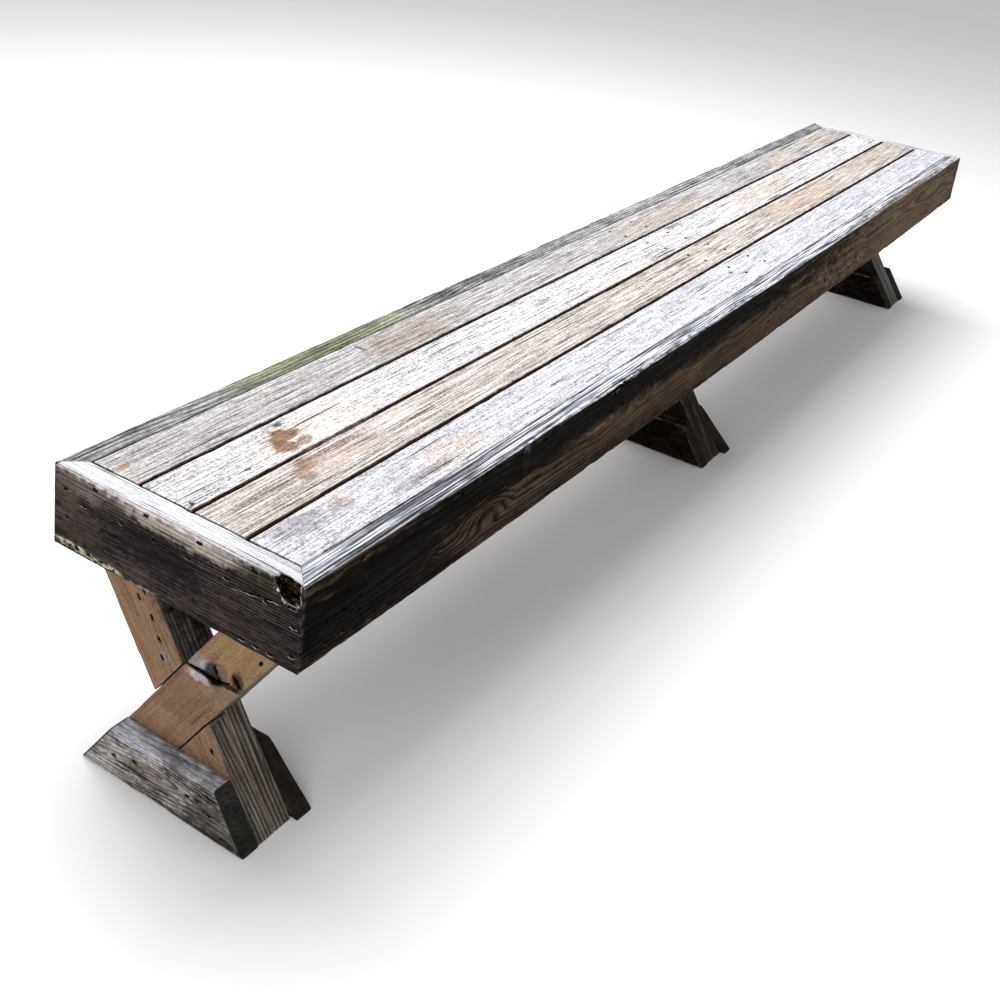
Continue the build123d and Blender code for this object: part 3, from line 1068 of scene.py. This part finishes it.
def leg_splits():
    """The splits in the broad face of the near leg: across it, beside its knot, and its gash."""
    across_leg = (
        (-0.002, 0.2475, 0.0022),
        (-0.02, 0.2487, 0.003),
        (-0.035, 0.2487, 0.0034),
        (-0.048, 0.244, 0.0058),
        (-0.058, 0.242, 0.0085),
        (-0.068, 0.244, 0.006),
        (-0.079, 0.249, 0.0026),
        (-0.093, 0.2547, 0.0024),
    )
    beside_knot = (
        (-0.061, 0.273, 0.0016),
        (-0.0635, 0.264, 0.0042),
        (-0.069, 0.256, 0.0036),
        (-0.079, 0.249, 0.0016),
    )
    gash = (
        (-0.096, 0.272, 0.002),
        (-0.103, 0.264, 0.0058),
        (-0.11, 0.255, 0.0062),
        (-0.118, 0.244, 0.0044),
    )
    splits = []
    for i, rows in enumerate((across_leg, beside_knot, gash)):
        route = [((NEAR_LEG_FACE, y, z), half) for y, z, half in rows]
        splits.append(split_in_wood(route, X, 0.01, 51 + 10 * i))
    return splits


def seat_boards():
    """The four rim boards and the four slats."""
    boards = []
    middle_z = SEAT_TOP - RIM_DEPTH / 2
    for side, name, seed, material, shape in (
        (-1, "side_fascia_front", FRONT_SEED, front_material, bow_front),
        (1, "side_fascia_back", 12, back_material, None),
    ):
        centre = (0, side * (HALF_WIDTH - BOARD / 2), middle_z)
        cuts = [((1, -side, 0), MITRE), ((-1, -side, 0), MITRE)]
        boards.append(Board(
            name, centre, X, Z, RIM_DEPTH, BOARD, cuts,
            seed=seed, wear=0.0022, end_round=0.0006, material=material, shape=shape,
            openings=front_splits if side < 0 else None,
            straighten=straighten_front if side < 0 else None,
        ))
    for side, name, material, shape in (
        (-1, "end_fascia_left", near_end_material, round_top_arris),
        (1, "end_fascia_right", far_end_material, None),
    ):
        centre = (side * (HALF_LENGTH - BOARD / 2), 0, middle_z)
        cuts = [((-side, 1, 0), -MITRE), ((-side, -1, 0), -MITRE)]
        boards.append(Board(
            name, centre, Y, Z, RIM_DEPTH, BOARD, cuts,
            seed=21 + side, wear=0.0022, end_round=0.0006, step=0.0045, material=material, shape=shape,
            openings=end_openings if side < 0 else None,
        ))
    for number in range(1, 5):
        name = f"seat_slat_{number}"
        low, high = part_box(name)
        if number == 1:
            low.y -= SEAM_CLOSING
        centre = (low + high) / 2
        cuts = [(X, high.x), (-X, -low.x)]
        boards.append(Board(
            name, centre, X, Y, high.y - low.y, high.z - low.z, cuts,
            seed=30 + number, wear=0.0016, material=slat_material(number),
            shape=bow_front if number == 1 else None,
        ))
    return boards


def leg_direction(side):
    """The way up along a leg that rises towards one side."""
    return np.array((0.0, side * cos(LEG_ANGLE), sin(LEG_ANGLE)))


def leg_board(name, side, x_middle, extra_cuts=(), **look):
    """A leg or packer that rises towards one side."""
    along = leg_direction(side)
    across = np.cross(along, X)
    cuts = [(-Z, 0.0), (Z, SLAT_BOTTOM), (side * Y, INNER_HALF_WIDTH), *extra_cuts]
    centre = (x_middle, 0, CROSSING_HEIGHT)
    return Board(name, centre, along, across, LEG_WIDTH, BOARD, cuts, **look)


def beside_other_leg(side, upper):
    """The cut that ends a packer against the leg that crosses it."""
    other = np.cross(leg_direction(-side), X)
    centre = np.array((0, 0, CROSSING_HEIGHT))
    towards = other if (leg_direction(side) @ other > 0) == upper else -other
    return (-towards, -(towards @ centre) - LEG_WIDTH / 2 - PACKER_GAP)


def leg_set(name, seed):
    """One set's crossed legs, with their packers and foot boards."""
    low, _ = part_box(f"{name}_set_foot_board_1")
    start = low.x
    near = name == "left"
    materials = {"left": near_leg_material, "middle": middle_leg_material, "right": right_leg_material}
    material = materials[name]
    boards = []
    for layer, side in ((1, -1), (2, 1)):
        x_middle = start + (layer + 0.5) * BOARD
        common = dict(wear=0.0016, step=0.006)
        split = near and layer == 1
        boards.append(leg_board(
            f"{name}_set_leg_{layer}", side, x_middle, seed=seed + layer, **common,
            material=split_leg_material if split else material,
            openings=leg_splits if split else None,
        ))
        for part, upper in (("lower", False), ("upper", True)):
            cut = beside_other_leg(-side, upper)
            boards.append(leg_board(
                f"{name}_set_packer_{layer}_{part}", -side, x_middle, (cut,),
                seed=seed + 3 + layer + (2 if upper else 0), material=material, **common,
            ))
    for number, layer in ((1, 0), (2, 3)):
        node = f"{name}_set_foot_board_{number}"
        foot_wood = near_foot_material if near and number == 1 else shaded_foot_material
        low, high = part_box(node)
        angle = FLAT_FOOT_ANGLE if number == 2 and name != "right" else LEG_ANGLE
        reach = high.y * sin(angle)
        cuts = [((0, sin(angle), cos(angle)), reach), ((0, -sin(angle), cos(angle)), reach)]
        boards.append(Board(
            node, (low + high) / 2, Y, Z, high.z - low.z, BOARD, cuts,
            seed=seed + 8 + number, wear=0.003, arris=0.003, step=0.006, material=foot_wood,
        ))
    return boards


def inner_boards():
    """The bearers and battens under the seat."""
    boards = []
    names = [n for n in sorted(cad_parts) if "bearer_" in n or "batten_" in n]
    for seed, name in enumerate(n for n in names if not n.endswith("_nails")):
        low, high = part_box(name)
        cuts = [(Y, high.y), (-Y, -low.y)]
        boards.append(Board(
            name, (low + high) / 2, Y, Z, high.z - low.z, high.x - low.x, cuts,
            seed=80 + seed, wear=0.0012, step=0.012, material=inner_material,
        ))
    return boards


all_boards = seat_boards()
for set_name, seed in (("left", 40), ("middle", 55), ("right", 70)):
    all_boards += leg_set(set_name, seed)
all_boards += inner_boards()
nails = nail_list()
for board in all_boards:
    piece = board.build()
    mouths = [(e, d) for e, d in nails if board.contains(e + d * JUST_INSIDE)]
    if mouths:
        cut_away(piece, nail_mouths(board, mouths))
    if board.openings:
        for shape in board.openings():
            cut_away(piece, shape)
    if board.name == "seat_slat_3":
        raise_splinter(piece, board)
    board.add_wood_coordinates(piece)
    piece.data.materials.clear()
    piece.data.materials.append(board.material)
    piece.data.shade_smooth()
    piece.data.set_sharp_from_angle(angle=radians(48))
    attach(piece, "root")
    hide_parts(board.name)
rusty = nail_material()
for name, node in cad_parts.items():
    if name.endswith("_nails"):
        node.data.materials.clear()
        node.data.materials.append(rusty)


# ---- floor, lights and camera
def add_floor():
    """A wide, plain, pale floor."""
    mesh = bpy.data.meshes.new("floor")
    reach = 60.0
    corners = [(-reach, -reach, 0), (reach, -reach, 0), (reach, reach, 0), (-reach, reach, 0)]
    mesh.from_pydata(corners, [], [(0, 1, 2, 3)])
    floor = add_object("floor", mesh)
    paint = Paint("floor")
    paint.feed(paint.shader.inputs["Base Color"], to_linear((250, 250, 250)))
    paint.feed(paint.shader.inputs["Roughness"], 0.95)
    mesh.materials.append(paint.material)


def add_light(name, place, target, size, power):
    """A round panel of light that faces a point on the bench."""
    light = bpy.data.lights.new(name, "AREA")
    light.shape = "DISK"
    light.size = size
    light.energy = power
    lamp = add_object(name, light)
    lamp.location = place
    direction = Vector(target) - Vector(place)
    lamp.rotation_euler = direction.to_track_quat("-Z", "Y").to_euler()


def add_camera():
    """The camera that the photo was taken from, as solved from the bench's corners."""
    camera = bpy.data.cameras.new("camera")
    camera.sensor_width = 36.0
    camera.lens = 50.24
    camera.shift_x = 0.0987
    camera.shift_y = -0.2215
    camera.clip_end = 200.0
    holder = add_object("camera", camera)
    holder.location = (-2.9154, -1.1654, 1.5533)
    holder.rotation_euler = (radians(68.942), radians(-5.648), radians(-54.699))
    bpy.context.scene.camera = holder


add_floor()
add_light("sky_panel", (0.3, 1.2, 4.2), (0, 0, 0.4), 4.5, 250)
add_light("near_panel", (-4.5, -1.0, 2.2), (-1.6, 0, 0.3), 2.5, 40)
add_camera()
world = bpy.data.worlds.new("studio")
world.use_nodes = True
background = world.node_tree.nodes["Background"]
background.inputs["Color"].default_value = (1.0, 1.0, 1.0, 1.0)
background.inputs["Strength"].default_value = 0.5
bpy.context.scene.world = world
bpy.context.scene.view_settings.view_transform = "Standard"
